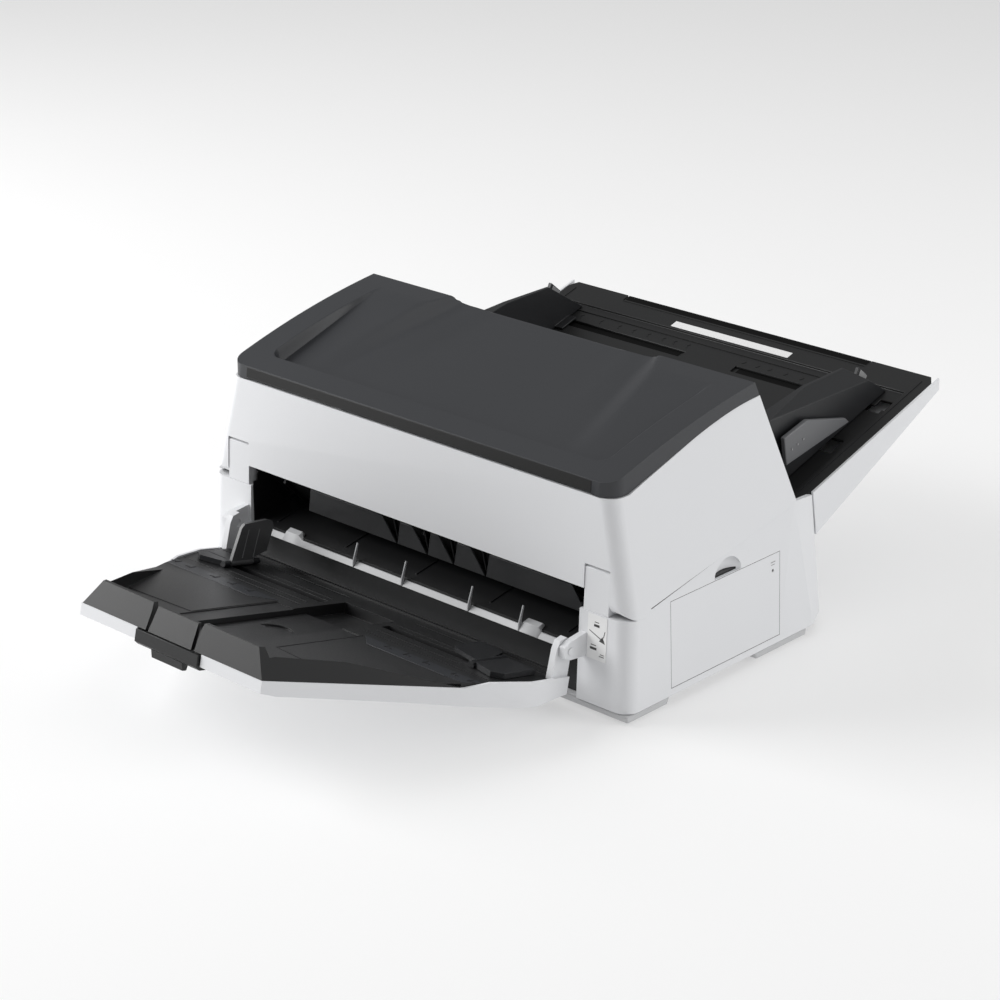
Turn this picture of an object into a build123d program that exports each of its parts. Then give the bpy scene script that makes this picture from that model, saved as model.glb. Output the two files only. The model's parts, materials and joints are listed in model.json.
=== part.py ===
from build123d import *
import os
from math import atan, cos, pi, sin, sqrt, tan

# Sheet fed document scanner. Millimetres, +Z up, +Y towards the input chute, the output tray at -Y.
# Everything is built with y = 0 at the foot of the housing's front face, then moved back or forward
# by MIDDLE_Y, so that the origin is under the middle of the whole object.

# Driving dimensions of the housing
BASE_HALF = 216.0          # half width of the lower housing at its foot
WALL = 2.6                 # moulded wall
COVER_FOOT_Z = 7.8         # lowest edge of the white lower covers
PAN_TOP_Z = 7.2            # top of the skirt blocks below that edge
PAN_FLOOR_Z = 10.4         # top of the pan's floor inside the covers
FOOT_Z = 2.0               # underside of the skirt blocks, where the rubber feet start
RIM_Z = 76.0               # the lower housing's rim at the front
SEAM_FRONT = (26.5, 80.3)  # the sloping seam between lower housing and upper unit, (y, z)
SEAM_REAR = (189.0, 112.0)
REAR_RIM = (240.0, 96.5)   # where the side cover ends and the chute begins
SEAM_GAP = 0.6
PIVOT = (14.0, 87.4)       # the upper unit's hinge line, (y, z)
PIVOT_ROUND = 11.0         # the upper unit's rounded lower front corner, about that line
SLOT_HALF = 171.7          # the paper exit between the two front columns
SLOT_TOP_Z = 91.6
COLUMN_X = (172.0, 194.7)
COLUMN_TOP_R = 22.2        # the columns' tops are round about the hinge line
FASCIA_Z = (160.0, 171.0)
TOP_HALF = 192.6
TOP_REAR = (162.0, 206.0)
TOP_RADIUS = 788.0         # the arched top, seen from the side
CORNER_R = 12.0

# Driving dimensions of the paper path
DECK_FRONT = (5.0, 47.0)
DECK_REAR = (193.0, 81.6)
DECK_HALF = 168.0
LEDGE_HALF = 192.4         # half width of the raised ledges beside the paper path
MOUTH_HALF = 208.0
PLATE = 2.6
PAPER_GAP = 2.4
DECK_SLOPE = (DECK_REAR[1] - DECK_FRONT[1]) / (DECK_REAR[0] - DECK_FRONT[0])
DECK_ANGLE = atan(DECK_SLOPE)
FRAME_X = (173.0, 175.5)
SHAFT_R = 4.0
UPPER_SHAFT_R = 3.0
RUNNING_FIT = 0.08
PICK_Y, FEED_Y, EJECT_Y = 168.0, 136.0, 62.0
LOWER_GLASS_Y, UPPER_GLASS_Y = 112.0, 88.0
ROLLER_R = 9.0
UPPER_ROLLER_R = 7.0
PROUD = 1.0                # how far a lower roller stands out of the deck
NIP = 0.3

# Driving dimensions of the chute
CHUTE_HALF = 188.0
CHUTE_SLOPE = tan(17 * pi / 180)
CHUTE_POINT = (384.0, 142.0)
CHUTE_BACK_Y = 400.0
CHUTE_RECESS = 2.0
CHUTE_PLATE = 1.8
CHUTE_FLOOR_END = 375.0
CHUTE_BOTTOM = ((240.4, 66.0), (402.0, 139.0))
EXTENSION_HALF = 126.0
GUIDE_SLOT_Y = (346.2, 354.2)
LEFT_GUIDE_X = (-172.0, -155.0)
RIGHT_GUIDE_X = (147.0, 160.0)

# Driving dimensions of the output tray, in its own level frame about its hinge line
TRAY_PIVOT = (-15.0, 51.0)
TRAY_ANGLE = 13.0
TRAY_FLOOR = -21.5
RIM_FRONT_Z, RIM_REAR_Z = -24.2, -20.3
SHELL_UNDER_Z = -34.5
TRAY_FRONT_Y = -210.0
TRAY_OUTLINE = [(93.0, -210.0), (155.0, -81.7), (161.0, -66.4), (173.0, -30.0), (173.0, 8.0)]
FRONT_WALL_TOP = (-204.1, -5.0)
RECESS_HALF = 25.0
GUIDE_TRACK_Y = (-36.7, -28.3)
PIN_R = 3.0

# Doors in the sides
DOOR_Y = (48.0, 172.4)
DOOR_Z = (13.0, 79.0)
DOOR_GAP = 0.4
SCOOP_X, SCOOP_Y, SCOOP_TOP = 206.2, 112.0, 92.6   # how deep, where and how high the finger scoop is
SCOOP_BOWL_R, SCOOP_ARCH_R = 20.0, 16.0
PANEL_X = 196.0

MIDDLE_Y = 86.4


def polygon(points):
    """A flat face through points of three coordinates."""
    return make_face(Polyline(*points, close=True))


def prism_x(points, x0, x1):
    """A side view, (y, z) points, carried across from x0 to x1."""
    return extrude(polygon([(x0, y, z) for y, z in points]), amount=x1 - x0, dir=(1, 0, 0))


def prism_y(points, y0, y1):
    """A front view, (x, z) points, carried back from y0 to y1."""
    return extrude(polygon([(x, y0, z) for x, z in points]), amount=y1 - y0, dir=(0, 1, 0))


def prism_z(points, z0, z1):
    """A plan, (x, y) points, carried up from z0 to z1."""
    return extrude(polygon([(x, y, z0) for x, y in points]), amount=z1 - z0, dir=(0, 0, 1))


def block(x0, x1, y0, y1, z0, z1):
    low = (Align.MIN, Align.MIN, Align.MIN)
    return Pos(x0, y0, z0) * Box(x1 - x0, y1 - y0, z1 - z0, align=low)


def rod_x(radius, x0, x1, y, z):
    low = (Align.CENTER, Align.CENTER, Align.MIN)
    return Pos(x0, y, z) * Rot(0, 90, 0) * Cylinder(radius, x1 - x0, align=low)


def rod_y(radius, x, z, y0, y1):
    low = (Align.CENTER, Align.CENTER, Align.MIN)
    return Pos(x, y1, z) * Rot(90, 0, 0) * Cylinder(radius, y1 - y0, align=low)


def rod_z(radius, x, y, z0, z1):
    low = (Align.CENTER, Align.CENTER, Align.MIN)
    return Pos(x, y, z0) * Cylinder(radius, z1 - z0, align=low)


def mirrored(shape):
    return mirror(shape, about=Plane.YZ)


def pair(shape):
    """A shape and its mirror image on the other side of the machine."""
    return shape + mirrored(shape)


def mirrored_outline(half):
    """A closed plan from the right half's points, front to back."""
    return half + [(-x, y) for x, y in reversed(half)]


def tapered(plan, z0, z1, inset, corner):
    """A solid between a plan at z0 and the same plan at z1, its two front corners rounded."""
    faces = []
    for z in (z0, z1):
        face = polygon([(x, y, z) for x, y in plan(z, inset)]).face()
        front = face.vertices().sort_by(Axis.Y)[:2]
        faces.append(face.fillet_2d(corner - inset, front))
    return loft(faces, ruled=True)


def base_plan(z, inset):
    """The lower housing's plan at height z: straight sides, then a bevel towards the rear."""
    rise = z - COVER_FOOT_Z
    side = BASE_HALF - 0.044 * rise - inset
    front = 0.0385 * rise + inset
    bevel_start = 212.6 - 0.226 * rise - 0.4 * inset
    rear_half = 204.3 - 0.161 * rise - inset
    rear = 236.3 + 0.042 * rise - inset
    half = [(side, front), (side, bevel_start), (rear_half, rear)]
    return mirrored_outline(half)


def upper_plan(z, inset):
    """The upper unit's plan at height z: its sides lean inwards, its back leans forwards."""
    front = 2.6 + 0.0488 * (z - RIM_Z) + inset
    rear = 189.0 - 0.2542 * (z - SEAM_REAR[1]) - inset

    def side(y):
        return 193.0 + 0.0508 * (y - 7.0) - 0.2463 * (z - 160.0) - inset
    return mirrored_outline([(side(front), front), (side(rear), rear)])


def deck_z(y):
    return DECK_FRONT[1] + DECK_SLOPE * (y - DECK_FRONT[0])


def along_deck(y0, y1, top, bottom):
    """A side view of a slab parallel to the deck, given by its heights above the deck."""
    return [(y0, deck_z(y0) + bottom), (y1, deck_z(y1) + bottom),
            (y1, deck_z(y1) + top), (y0, deck_z(y0) + top)]


def off_deck(y, height):
    """The (y, z) of a point at a height square to the deck, over the deck's point y."""
    return y - height * sin(DECK_ANGLE), deck_z(y) + height * cos(DECK_ANGLE)


def chute_z(y):
    return CHUTE_POINT[1] + CHUTE_SLOPE * (y - CHUTE_POINT[0])


def along_chute(y0, y1, top, bottom):
    """A side view of a slab parallel to the chute, given by its heights above the chute's edge."""
    return [(y0, chute_z(y0) + bottom), (y1, chute_z(y1) + bottom),
            (y1, chute_z(y1) + top), (y0, chute_z(y0) + top)]


def tray_place(shape):
    """Puts a shape from the output tray's level frame where the tray stands."""
    return Pos(0, *TRAY_PIVOT) * Rot(-TRAY_ANGLE, 0, 0) * shape


# Lower housing

def base_shell():
    """The lower housing's wall, all round, cut to its side view."""
    outer = tapered(base_plan, COVER_FOOT_Z, 120.0, 0.0, CORNER_R)
    inner = tapered(base_plan, COVER_FOOT_Z, 120.0, WALL, CORNER_R)
    side_view = [(-5, 0), (-5, RIM_Z), (24, RIM_Z), SEAM_FRONT, SEAM_REAR,
                 REAR_RIM, (260, REAR_RIM[1]), (260, 0)]
    return (outer - inner) & prism_x(side_view, -230, 230)


def door_window(gap):
    """The doorway in the right side, or the door's own edges when it gets a gap."""
    return block(190, 230, DOOR_Y[0] + gap, DOOR_Y[1] - gap, DOOR_Z[0] + gap, DOOR_Z[1] - gap)


def finger_scoop():
    """The arched hollow over the door's top edge that a fingertip goes into."""
    bowl = Pos(SCOOP_X + SCOOP_BOWL_R, SCOOP_Y, 86) * Cylinder(SCOOP_BOWL_R, 20)
    arch = rod_x(SCOOP_ARCH_R, 200, 220, SCOOP_Y, SCOOP_TOP - SCOOP_ARCH_R)
    return bowl & arch & block(180, 240, 90, 134, 79.4, 94)


def chute_clearance():
    """Room over the rear wall for the chute's tray."""
    half = CHUTE_HALF + 0.4
    return prism_x(along_chute(225, 246, 20, -CHUTE_RECESS - CHUTE_PLATE - 0.4), -half, half)


def side_cover():
    """The right side cover, with its front corner block, doorway and scoop."""
    cover = base_shell() & block(169, 230, -10, 260, 0, 130)
    cover += block(169, 171.5, 2.6, 40, 10.8, RIM_Z)
    cap = block(169, 209.5, 3.5, 27, RIM_Z - 2.5, RIM_Z)
    backing = prism_x([(92, 81), (132, 81), (132, 94.4), (92, 94.4)], SCOOP_X - 1.6, 210.4)
    cover += cap & tapered(base_plan, COVER_FOOT_Z, 120.0, 1.0, CORNER_R)
    cover += backing
    cover -= door_window(0) + finger_scoop() + chute_clearance()
    bracket = prism_x([(3, 42), (-15, 44.2), (-21, 47), (-21, 55), (-15, 58), (3, 60)], 171.5, 176.5)
    cover += bracket & block(160, 180, -22, 3, 40, 62)
    return cover + rod_x(PIN_R, 166.6, 172.0, *TRAY_PIVOT)


def rear_cover():
    cover = (base_shell() & block(-168.6, 168.6, 215, 260, 0, 130)) - chute_clearance()
    cover -= block(*INLET_X, 225, 245, *INLET_Z)
    cover -= block(*USB_X, 225, 245, *USB_Z)
    cover -= block(*SWITCH_X, 225, 245, SWITCH_Z - 7.6, SWITCH_Z + 7.6)
    for row in range(5):
        for column in range(14):
            cover -= block(60 + column * 6, 63 + column * 6, 225, 245, 22 + row * 7, 26 + row * 7)
    return cover


INLET_X, INLET_Z = (-130.0, -102.0), (20.0, 44.0)
USB_X, USB_Z = (-60.0, -47.6), (24.0, 35.2)
SWITCH_X, SWITCH_Z, SWITCH_Y = (-92.0, -80.0), 32.0, 232.2


def base_pan():
    """The grey bottom pan: a floor inside the covers, and four skirt blocks that stand below it."""
    plan = mirrored_outline([(202, 3.4), (208.5, 6.5), (211.5, 13), (211.5, 208), (200, 231.5)])
    floor = prism_z(plan, PAN_TOP_Z, PAN_FLOOR_Z)
    front = prism_x([(0.4, PAN_TOP_Z), (47, PAN_TOP_Z), (44.5, FOOT_Z), (1.4, FOOT_Z)], 150, 215.4)
    rear = prism_x([(143, PAN_TOP_Z), (206, PAN_TOP_Z), (205, FOOT_Z), (146, FOOT_Z)], 150, 215.4)
    return floor + pair(front + rear)


def rubber_feet():
    feet = Part()
    for y in (24.0, 176.0):
        feet += pair(rod_z(9.0, 196, y, 0, FOOT_Z))
    return feet


def housing_screws():
    """Pan head screws in the rear cover."""
    screws = Part()
    on_axis = (Align.CENTER, Align.CENTER, Align.MIN)
    for x, z in ((-158, 16), (158, 16), (-158, 78), (158, 78)):
        y = 236.5 + 0.042 * (z - COVER_FOOT_Z)
        head = Pos(x, y, z) * Rot(-90, 0, 0) * Cone(4.0, 3.0, 1.8, align=on_axis)
        screws += head - block(x - 2.2, x + 2.2, y + 0.9, y + 3, z - 0.5, z + 0.5)
    return screws


def front_columns():
    """The two white uprights beside the paper exit, round on top about the hinge line."""
    side_view = [(3.2, RIM_Z), (4.9, 109), (24, 109), (24, RIM_Z)]
    column = prism_x(side_view, *COLUMN_X)
    top = rod_x(COLUMN_TOP_R, *COLUMN_X, *PIVOT) + block(*COLUMN_X, 0, 30, RIM_Z - 2, PIVOT[1])
    column = column & top
    return pair(column - rod_x(PIN_R + RUNNING_FIT, *COLUMN_X, *PIVOT))


def inner_frames():
    """The two steel side plates that carry the lower shafts."""
    top, y0, y1 = -PLATE - 0.4, 42, 192
    plate = prism_x([(y0, PAN_FLOOR_Z + 0.2), (y1, PAN_FLOOR_Z + 0.2), (y1, deck_z(y1) + top),
                     (y0, deck_z(y0) + top)], *FRAME_X)
    for y in (PICK_Y, FEED_Y, EJECT_Y):
        plate -= rod_x(SHAFT_R + RUNNING_FIT, 160, 190, *off_deck(y, PROUD - ROLLER_R))
    plate -= block(165, 190, 92, 112, 16, 26) + block(165, 190, 60, 80, 16, 26)
    return pair(plate)


def lower_guide():
    """The black lower half of the paper path, from the chute down to the exit, with its front apron."""
    y0, y1 = DECK_FRONT[0], DECK_REAR[0] - 0.4
    foot_z = PAN_FLOOR_Z + 0.2
    side_view = [(y0, deck_z(y0)), (y1, deck_z(y1)), (y1, deck_z(y1) - PLATE), (y0 + 3, deck_z(y0) - PLATE),
                 (y0 + 3, foot_z), (y0 - 1.5, foot_z), (y0 - 1.5, 41.0)]
    deck = prism_x(side_view, -DECK_HALF, DECK_HALF)
    deck += pair(prism_x(along_deck(41, y1, 0, -PLATE), DECK_HALF - 0.5, DECK_HALF + 1.6))
    deck += pair(prism_x(along_deck(41, y1, 2.6, -0.4), DECK_HALF + 0.6, LEDGE_HALF))
    for y, width, places in LOWER_ROLLERS:
        for x in places:
            half = width / 2 + 1.5
            deck -= block(x - half, x + half, y - 10, y + 8, deck_z(y) - 12, deck_z(y) + 6)
    deck -= block(-157, 157, LOWER_GLASS_Y - 10, LOWER_GLASS_Y + 10, 40, 90)
    for x in (-150, -75, 0, 75, 150):
        deck += prism_x([(12, deck_z(12) - 1), (150, deck_z(150) - 1), (150, deck_z(150) + 0.7),
                         (12, deck_z(12) + 0.7)], x - 0.8, x + 0.8) & block(-160, 160, 12, 96, 40, 90)
    return deck


# Each lower shaft: its place along the deck, the width of its tyres and where they sit
LOWER_ROLLERS = [(PICK_Y, 24.0, (-30.0, 30.0)),
                 (FEED_Y, 20.0, (-120.0, -40.0, 40.0, 120.0)),
                 (EJECT_Y, 20.0, (-110.0, -40.0, 40.0, 110.0))]


EXIT_RIBS = (-54.5, -3.5, 64.0)


def exit_bar():
    """The grey bar along the paper exit, in lengths between the ribs."""
    side_view = [(-0.2, 41.5), (3.3, 41.5), (4.8, 47.3), (12, deck_z(12) + 0.3), (12, deck_z(12) + 2.2),
                 (4.0, 50.2), (-0.2, 44.5)]
    bar = pair(prism_x(side_view, 133, 165))
    for x0, x1 in zip((-116, *EXIT_RIBS), (*EXIT_RIBS, 116)):
        bar += prism_x(side_view, x0 + 0.7, x1 - 0.7)
    raised = [(-0.2, 41.5), (3.3, 41.5), (4.8, 47.3), (18, deck_z(18) + 0.3), (18, 55.5), (5, 55.0), (0, 47)]
    return bar + pair(prism_x(raised, 116, 133))


def lower_glass():
    y, half = LOWER_GLASS_Y, 9.4
    return prism_x(along_deck(y - half, y + half, -0.2, -2.4), -156, 156)


def lower_optics():
    """The sealed sensor unit below the lower glass."""
    y = LOWER_GLASS_Y
    case = block(-158, 158, y - 16, y + 12, 34, deck_z(y - 16) - 4.4)
    return case + block(-150, 150, y - 8, y + 8, 24, 34)


def shaft(y, height, radius, reach):
    return rod_x(radius, -reach, reach, *off_deck(y, height))


def tyres(y, height, radius, bore, width, places):
    rings = Part()
    for x in places:
        centre = off_deck(y, height)
        ring = rod_x(radius, x - width / 2, x + width / 2, *centre)
        rings += ring - rod_x(bore, x - width, x + width, *centre)
    return rings


def lower_shaft(y):
    return shaft(y, PROUD - ROLLER_R, SHAFT_R, 178 if y == PICK_Y else 187)


def lower_tyres(y, width, places):
    return tyres(y, PROUD - ROLLER_R, ROLLER_R, SHAFT_R, width, places)


PULLEY_X = (177.6, 185.6)
FEED_PULLEY_R, MOTOR_PULLEY_R = 5.6, 5.0
MOTOR_CENTRE = (98.0, 32.0)


def pulley(y, z, radius, bore):
    """A belt pulley with a flange on each side."""
    x0, x1 = PULLEY_X
    wheel = rod_x(radius, x0, x1, y, z) + rod_x(radius + 1.3, x0, x0 + 1, y, z)
    wheel += rod_x(radius + 1.3, x1 - 1, x1, y, z)
    return wheel - rod_x(bore, x0 - 1, x1 + 1, y, z)


def drive_belt():
    """The toothed belt round the motor's pulley and the two shafts' pulleys."""
    centres = [(*off_deck(FEED_Y, PROUD - ROLLER_R), FEED_PULLEY_R),
               (*off_deck(EJECT_Y, PROUD - ROLLER_R), FEED_PULLEY_R),
               (*MOTOR_CENTRE, MOTOR_PULLEY_R)]

    def loop(margin):
        circles = [Pos(y, z) * Circle(r + margin) for y, z, r in centres]
        outline = make_hull(ShapeList([edge for circle in circles for edge in circle.edges()]))
        return extrude(Plane.YZ * outline, amount=PULLEY_X[1] - PULLEY_X[0] - 3)
    return Pos(PULLEY_X[0] + 1.5, 0, 0) * (loop(1.5) - loop(0.35))


def drive_motor():
    """The stepping motor, with its plate against the right frame."""
    y, z = MOTOR_CENTRE
    body = block(128, FRAME_X[0] - 2, y - 18, y + 2.5, z - 17, z + 1.4)
    return body + rod_x(11, FRAME_X[0] - 2, FRAME_X[0] - 0.4, y - 7, z - 7)


def motor_pulley():
    y, z = MOTOR_CENTRE
    return pulley(y, z, MOTOR_PULLEY_R, 2.5) + rod_x(2.5, FRAME_X[1] + 0.4, PULLEY_X[1] + 1, y, z)


def main_board():
    board = block(-160, 40, 150, 228, 14, 15.6)
    board += block(-120, -96, 176, 200, 15.6, 17.6) + block(-70, -52, 170, 196, 15.6, 18)
    board += block(-20, 20, 165, 180, 15.6, 22) + block(0, 30, 195, 215, 15.6, 30)
    for x in (-150, -30, 30):
        board += rod_z(3, x, 155, 10.4, 14) + rod_z(3, x, 220, 10.4, 14)
    return board


def power_inlet():
    """The mains socket: a shrouded recess with three blades."""
    x0, x1 = INLET_X
    z0, z1 = INLET_Z
    body = block(x0 + 0.2, x1 - 0.2, 218, 238.6, z0 + 0.2, z1 - 0.2)
    body -= block(x0 + 2.2, x1 - 2.2, 223, 240, z0 + 2.2, z1 - 2.2)
    middle_x, middle_z = (x0 + x1) / 2, (z0 + z1) / 2
    for dx, dz in ((-7, -2), (0, 3), (7, -2)):
        x, z = middle_x + dx, middle_z + dz
        body += block(x - 1, x + 1, 222, 230, z - 2, z + 2)
    return body


def usb_port():
    x0, x1 = USB_X
    z0, z1 = USB_Z
    body = block(x0 + 0.2, x1 - 0.2, 222, 238.0, z0 + 0.2, z1 - 0.2)
    body -= block(x0 + 1.2, x1 - 1.2, 226, 240, z0 + 1.2, z1 - 1.2)
    return body + block(x0 + 4, x1 - 4, 225, 231, z0 + 4, z1 - 4)


def power_switch():
    """The rocker: part of a drum about its own pivot, with a hollow across its face."""
    x0, x1 = SWITCH_X
    drum = rod_x(7.0, x0 + 0.5, x1 - 0.5, SWITCH_Y, SWITCH_Z)
    hollow = prism_x([(240, SWITCH_Z - 8), (236.2, SWITCH_Z), (240, SWITCH_Z + 8)], x0, x1)
    return drum - hollow


# Side doors and the panel behind the right one

def side_door():
    """The right door: the housing's own wall, with a raised lip along its top edge."""
    outer = tapered(base_plan, COVER_FOOT_Z, 120.0, 0.0, CORNER_R)
    inner = tapered(base_plan, COVER_FOOT_Z, 120.0, WALL, CORNER_R)
    door = (outer - inner) & door_window(DOOR_GAP)
    lip = block(208, 210.7, 99, 125, 75.0, 77.4)
    return door + lip - rod_x(1.2, 200, 230, 164, 66)


BUTTONS = {"power_button": (62.0, 62.0), "scan_button": (62.0, 40.0), "menu_button": (80.0, 40.0)}
BUTTON_R = 5.5


def operator_panel():
    """The tray behind the right door, whose floor carries the display and the buttons."""
    y0, y1 = DOOR_Y[0] - 3, DOOR_Y[1] + 3
    z0, z1 = DOOR_Z[0] - 1.6, DOOR_Z[1] + 1.6
    tray = block(PANEL_X, 209.6, y0, y1, z0, z1)
    tray -= block(PANEL_X + 3, 220, y0 + 2, y1 - 2, z0 + 2, z1 - 2)
    for y, z in BUTTONS.values():
        tray -= rod_x(BUTTON_R + 0.3, 190, 203, y, z)
    return tray


def display_window():
    return block(PANEL_X + 3, PANEL_X + 4.4, 96, 160, 28, 66)


def panel_button(name):
    y, z = BUTTONS[name]
    button = rod_x(BUTTON_R, PANEL_X - 0.6, PANEL_X + 4.6, y, z)
    return button + rod_x(BUTTON_R + 1.4, PANEL_X - 1.8, PANEL_X - 0.6, y, z)


# Upper unit

def top_arc_centre():
    """The centre of the top's arc, from its rear point and its slope at the fascia."""
    start_angle = 18.5 * pi / 180
    y = 7.7 + TOP_RADIUS * sin(start_angle)
    return y, FASCIA_Z[1] - TOP_RADIUS * cos(start_angle)


def top_z(y):
    centre_y, centre_z = top_arc_centre()
    return centre_z + sqrt(TOP_RADIUS ** 2 - (y - centre_y) ** 2)


# The white cover's top edge, (y, z): straight up to y = 100, then rounding over to level at the rear
WHITE_TOP = [(24.5, 160.2), (40.0, 165.1), (55.0, 169.6), (86.8, 179.1), (98.0, 182.4), (106.0, 184.5),
             (114.0, 186.5), (122.0, 188.3), (130.0, 189.95), (138.0, 191.35), (146.0, 192.5),
             (154.0, 193.45), (161.0, 194.1), (168.0, 194.6)]


def upper_side_view(y_front):
    """The white cover's side view, with its lower front corner round about the hinge line."""
    steps = 8
    round_corner = []
    for k in range(steps + 1):
        angle = pi + 0.5 * pi * k / steps
        round_corner.append((PIVOT[0] + PIVOT_ROUND * cos(angle), PIVOT[1] + PIVOT_ROUND * sin(angle)))
    gap = SEAM_GAP
    under = [(23.4, RIM_Z + 0.4), (26.0, SEAM_FRONT[1] + gap), (200.0, 114.16 + gap)]
    top = [(200.0, WHITE_TOP[-1][1])] + list(reversed(WHITE_TOP)) + [(y_front, FASCIA_Z[0])]
    return [(y_front, PIVOT[1])] + round_corner + under + top


def upper_cover():
    """The white upper housing: a leaning shell with the paper exit and the columns' notches cut out."""
    outer = tapered(upper_plan, 70.0, 215.0, 0.0, CORNER_R)
    inner = tapered(upper_plan, 70.0, 215.0, WALL, CORNER_R)
    view = prism_x(upper_side_view(-4.0), -230, 230)
    shell = outer - inner
    shell += pair(block(195.1, 197.6, 4, 26, 70, 150)) & outer
    shell = (shell & view) - pair(rod_x(PIN_R, 190, 205, *PIVOT))
    shell -= block(-SLOT_HALF, SLOT_HALF, -5, 30, 60, SLOT_TOP_Z)
    shell -= pair(block(SLOT_HALF, 195.1, -5, 30, 60, 110.0))
    shell -= block(-186, 186, 150, 260, 100, 136)
    boss = rod_x(7.0, 195.1, 200.0, *PIVOT) - rod_x(PIN_R, 190, 205, *PIVOT)
    return shell + pair(boss)


def hinge_pins():
    """The two pins that the upper unit turns on, fast in its side bosses."""
    return pair(rod_x(PIN_R, COLUMN_X[0] + 1, 200.0, *PIVOT))


def top_cover():
    """The dark top with its paper rest, a recess that runs out at the rear edge."""
    y0, y1 = 19.6, TOP_REAR[0]
    arc = ThreePointArc((0, y0, top_z(y0)), (0, 90, top_z(90)), (0, y1, top_z(y1)))
    under = [(0, y, z + 0.4) for y, z in reversed(WHITE_TOP)]
    rest = Polyline((0, y1, top_z(y1)), (0, 167.4, 195.4), *under,
                    (0, y0, FASCIA_Z[0] + 0.4), (0, y0, top_z(y0)))
    cover = extrude(make_face(arc + rest), amount=TOP_HALF, both=True, dir=(1, 0, 0))
    wedge = prism_x([(126, 196), (157.5, 209), (162.5, 206), (162.5, 198)], 112, 170)
    cover += pair(wedge)
    middle = prism_x([(27, 166), (172, 202.7), (172, 230), (27, 230)], -106, 106)
    sides = prism_x([(27, 166), (150, 202), (157.5, 209), (157.5, 230), (27, 230)], -168.5, 168.5)
    cover -= (middle + sides)
    hollow = prism_x([(y0 + 3, 157), (y0 + 3, 163), (100, 180.5), (164, 194.5), (164, 187)], -180, 180)
    return cover - hollow


def fascia():
    """The dark strip along the top front edge, rounded at its ends."""
    low_z, back = FASCIA_Z[0] + 0.4, 19.2
    view = [(6.7, low_z), (back, low_z), (back, top_z(back)), (7.7, FASCIA_Z[1])]
    strip = prism_x(view, -TOP_HALF, TOP_HALF)
    plan = polygon([(x, y, 150) for x, y in mirrored_outline([(TOP_HALF, 6.7), (TOP_HALF, 40)])]).face()
    plan = plan.fillet_2d(CORNER_R, plan.vertices().sort_by(Axis.Y)[:2])
    strip = strip & extrude(plan, amount=40, dir=(0, 0, 1))
    return strip - pair(block(175, 175.6, 0, 9, 150, 180))


UPPER_ROLLERS = [(PICK_Y, 26.0, (-30.0, 30.0)),
                 (FEED_Y, 16.0, (-120.0, -40.0, 40.0, 120.0)),
                 (EJECT_Y, 16.0, (-110.0, -40.0, 40.0, 110.0))]
UPPER_HEIGHT = PROUD + NIP + UPPER_ROLLER_R


def upper_guide():
    """The black upper half of the paper path: a folded plate, its windows and the shafts' bearers."""
    low = [(186, deck_z(186) + 8), (176, deck_z(176) + PAPER_GAP), (50, deck_z(50) + PAPER_GAP),
           (40, deck_z(40) + 7), (16, 88), (9.5, 93)]
    high = [(9.5, 96.2), (18, 91.5), (42, deck_z(42) + 10.4), (52, deck_z(52) + PAPER_GAP + PLATE),
            (175, deck_z(175) + PAPER_GAP + PLATE), (184, deck_z(184) + 12)]
    guide = prism_x(low + high, -DECK_HALF, DECK_HALF)
    for y, width, places in UPPER_ROLLERS:
        for x in places:
            half = width / 2 + 1.2
            guide -= block(x - half, x + half, y - 10.5, y + 7.5, deck_z(y) - 2, deck_z(y) + 30)
    guide -= block(-157, 157, UPPER_GLASS_Y - 9, UPPER_GLASS_Y + 9, deck_z(UPPER_GLASS_Y) - 5, 90)
    for y, width, places in UPPER_ROLLERS:
        centre = off_deck(y, UPPER_HEIGHT)
        ear = block(160, 163, centre[0] - 6, centre[0] + 6, deck_z(y) + PAPER_GAP + 1.5, centre[1] + 7)
        ear -= rod_x(UPPER_SHAFT_R + RUNNING_FIT, 150, 170, *centre)
        guide += pair(ear)
    for x in (-150, -75, 0, 75, 150):
        guide += prism_x([(22, 81), (40, deck_z(40) + 9), (40, deck_z(40) + 4), (20, 78)], x - 1, x + 1)
    return guide


def upper_glass():
    y, half = UPPER_GLASS_Y, 8.4
    lift = PAPER_GAP + 0.2
    return prism_x(along_deck(y - half, y + half, lift + 2.2, lift), -156, 156)


def upper_optics():
    y = UPPER_GLASS_Y
    case = block(-158, 158, y - 10, y + 14, deck_z(y + 14) + 6.4, 116)
    return case + block(-150, 150, y - 6, y + 8, 116, 128)


def upper_rollers(y, width, places):
    wheels = tyres(y, UPPER_HEIGHT, UPPER_ROLLER_R, UPPER_SHAFT_R, width, places)
    return wheels + shaft(y, UPPER_HEIGHT, UPPER_SHAFT_R, 166)


# Chute

def chute_tray():
    """The black input tray: a sloping floor between low ledges, with the guides' slots."""
    y0, y1 = DECK_REAR[0], CHUTE_BACK_Y
    under = -CHUTE_RECESS - CHUTE_PLATE
    tray = prism_x(along_chute(y0, y1, 0, under), -MOUTH_HALF, MOUTH_HALF)
    half_plan = [(MOUTH_HALF, y0), (187.8, 235), (CHUTE_HALF, 236), (CHUTE_HALF, 393), (183, y1)]
    tray = tray & prism_z(mirrored_outline(half_plan), 60, 160)
    tray -= prism_x(along_chute(y0 - 1, CHUTE_FLOOR_END, 5, -CHUTE_RECESS), -176, 176)
    tray -= prism_x(along_chute(CHUTE_FLOOR_END + 2, y1 + 5, -2.6, -9), -CHUTE_HALF + 2, CHUTE_HALF - 2)
    tray -= pair(block(26, 172, *GUIDE_SLOT_Y, 110, 160))
    tray -= block(-EXTENSION_HALF - 0.6, EXTENSION_HALF + 0.6, 392.5, 410, 130, 160)
    tray -= pair(block(158, 170, 289, 306, 90, 140) + block(163, 176, 351, 362, 110, 150))
    return tray


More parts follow.
